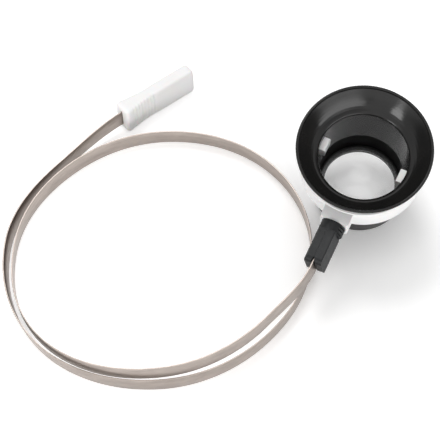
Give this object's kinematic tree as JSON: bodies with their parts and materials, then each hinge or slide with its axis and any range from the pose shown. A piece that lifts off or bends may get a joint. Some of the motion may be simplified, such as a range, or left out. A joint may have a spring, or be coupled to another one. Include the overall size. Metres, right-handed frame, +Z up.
{
  "type": "headband eye loupe",
  "caption": "Eye loupe with a flared eyecup and one lens, held by a ring on a friction swivel. A flat spring-steel headband starts in the swivel's block, lies coiled and ends in a soft sleeve.",
  "frame": {"origin": "on the surface that the object lies on, under the middle of its footprint", "axes": "+Z up, +X from the coiled band towards the eyecup, along the longest extent"},
  "size_m": [0.1262, 0.1119, 0.0387],
  "materials": {
    "eyecup_black": "moulded, soft gloss",
    "cell_black": "moulded, satin",
    "lens_glass": "polished",
    "ring_steel": "blackened spring wire",
    "collar_white": "moulded, satin",
    "screw_steel": "turned",
    "block_grey": "moulded, satin",
    "band_steel": "rolled spring steel, dull",
    "sleeve_white": "soft, matte"
  },
  "bodies": {
    "band": {"headband": "band_steel", "end_sleeve": "sleeve_white", "swivel_block": "block_grey", "block_cover": "block_grey", "swivel_screw": "screw_steel", "friction_washer": "screw_steel"},
    "loupe": {"eyecup": "eyecup_black", "lens_cell": "cell_black", "lens": "lens_glass", "snap_ring": "ring_steel", "collar_ring": "collar_white"}
  },
  "joints": [
    {"name": "loupe_swivel", "type": "hinge", "parent": "band", "child": "loupe", "pos_m": [0.03487, -0.00989, 0.01878], "axis": [-0.4208, -0.8798, -0.2211], "range_deg": [-18, 198]}
  ]
}
